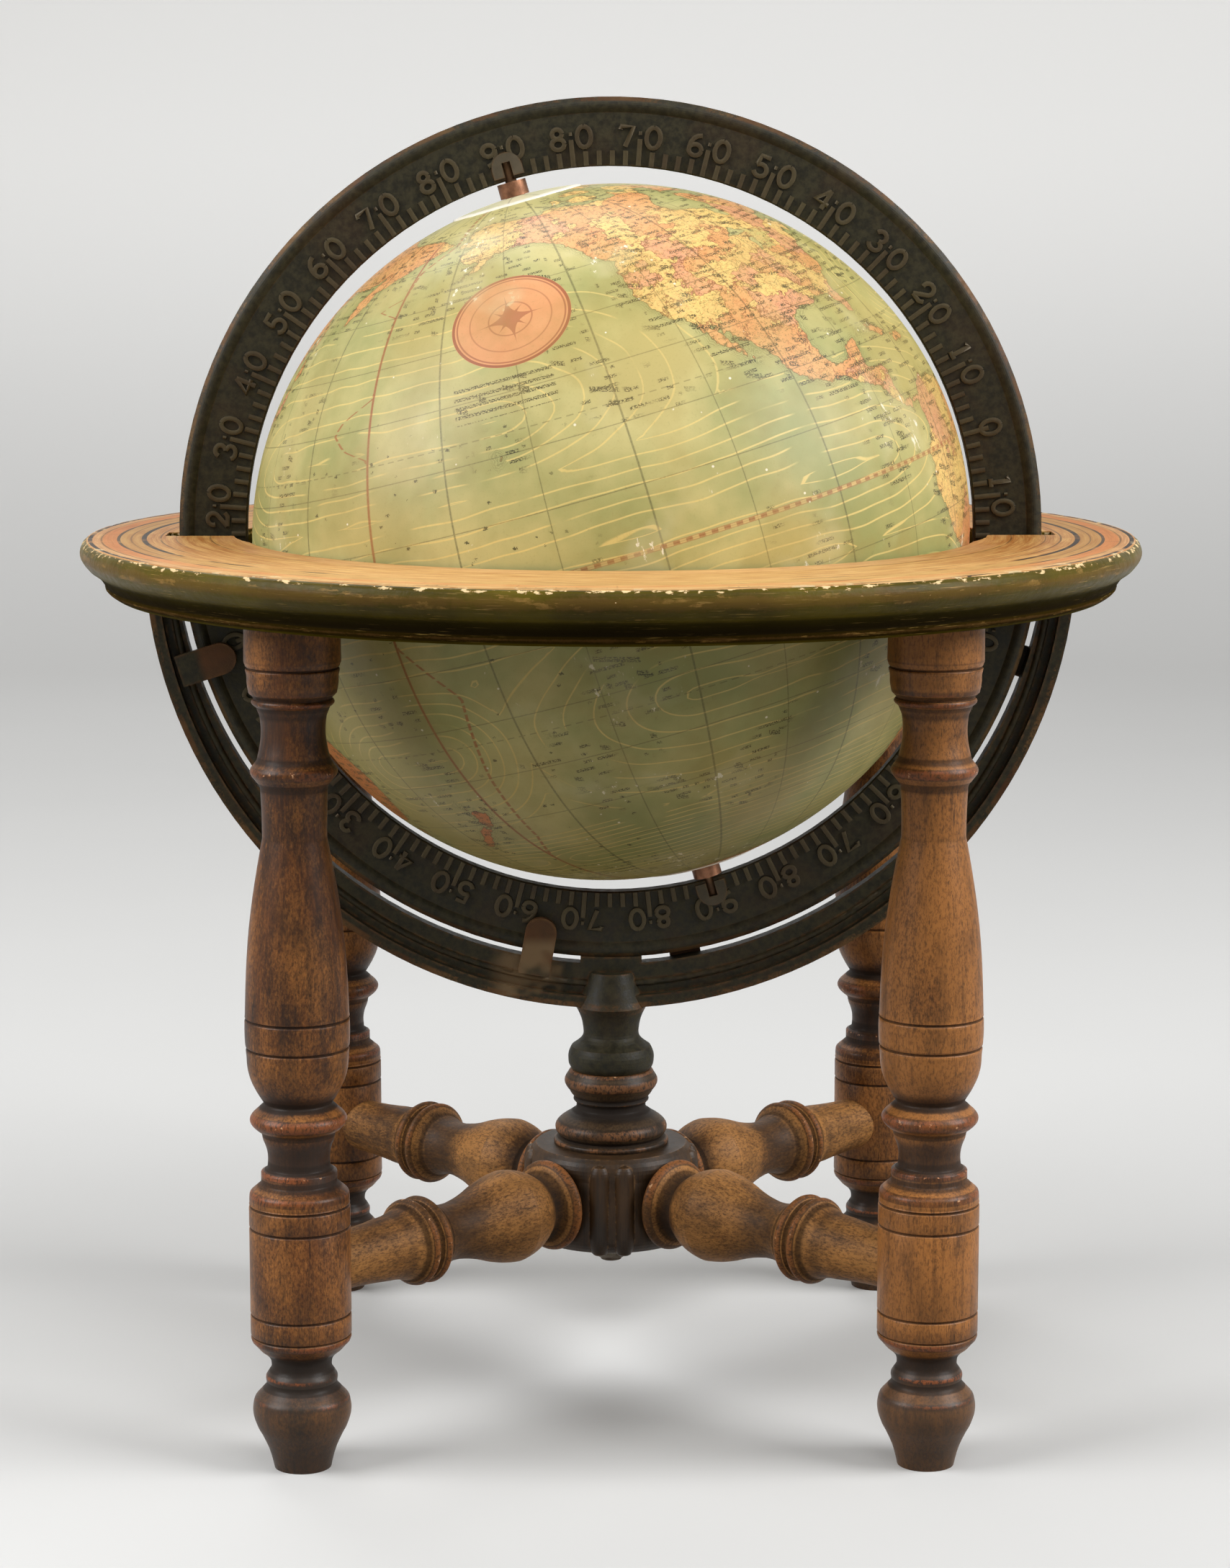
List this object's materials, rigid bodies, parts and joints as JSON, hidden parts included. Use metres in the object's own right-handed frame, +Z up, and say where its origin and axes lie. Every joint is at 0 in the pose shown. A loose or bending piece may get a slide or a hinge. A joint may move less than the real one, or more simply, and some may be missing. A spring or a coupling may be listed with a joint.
{
  "type": "table globe",
  "caption": "Table globe whose ball spins in a meridian ring that slides round in an iron cradle, inside a papered horizon ring on a turned wooden stand.",
  "frame": {"origin": "on the table, straight under the globe's centre", "axes": "+Z up; the flat meridian ring lies in the XZ plane, the front faces -Y, and the north pole leans towards -X"},
  "size_m": [0.2986, 0.2986, 0.3675],
  "materials": {
    "stand_wood": "dark stained and varnished, worn at the edges",
    "stretcher_wood": "brown stained, worn to a golden tan",
    "olive_painted_wood": "olive paint, chipped",
    "black_iron": "dark lacquer over casting, worn to bronze brown",
    "steel": "dull, lightly rusted",
    "copper_fittings": "tarnished copper brown",
    "globe_board": "plain pressed board",
    "map_print": "printed, yellowed varnish",
    "horizon_print": "printed, worn and toned"
  },
  "bodies": {
    "stand": {"leg_front_left": "stand_wood", "leg_front_right": "stand_wood", "leg_rear_left": "stand_wood", "leg_rear_right": "stand_wood", "stretcher_front_left": "stretcher_wood", "stretcher_front_right": "stretcher_wood", "stretcher_rear_left": "stretcher_wood", "stretcher_rear_right": "stretcher_wood", "hub": "stand_wood", "column": "stand_wood", "tie_rod": "steel", "tie_washer": "steel", "tie_nut": "steel", "cradle": "black_iron", "cradle_screws": "steel", "horizon_ring": "olive_painted_wood", "horizon_paper": "horizon_print"},
    "meridian": {"meridian_ring": "black_iron", "north_keeper": "black_iron", "south_keeper": "black_iron", "keeper_screws": "copper_fittings"},
    "globe": {"north_shell": "globe_board", "south_shell": "globe_board", "shell_strip": "globe_board", "axis_rod": "stretcher_wood", "north_pin": "copper_fittings", "south_pin": "copper_fittings", "north_collar": "copper_fittings", "south_collar": "copper_fittings", "map_gores": "map_print", "north_disc": "map_print", "south_disc": "map_print"}
  },
  "joints": [
    {"name": "meridian_turn", "type": "hinge", "parent": "stand", "child": "meridian", "pos_m": [0, 0, 0.2455], "axis": [0, 1, 0], "continuous": true},
    {"name": "globe_spin", "type": "hinge", "parent": "meridian", "child": "globe", "pos_m": [0, 0, 0.2455], "axis": [-0.2723, 0, 0.9622], "continuous": true}
  ]
}
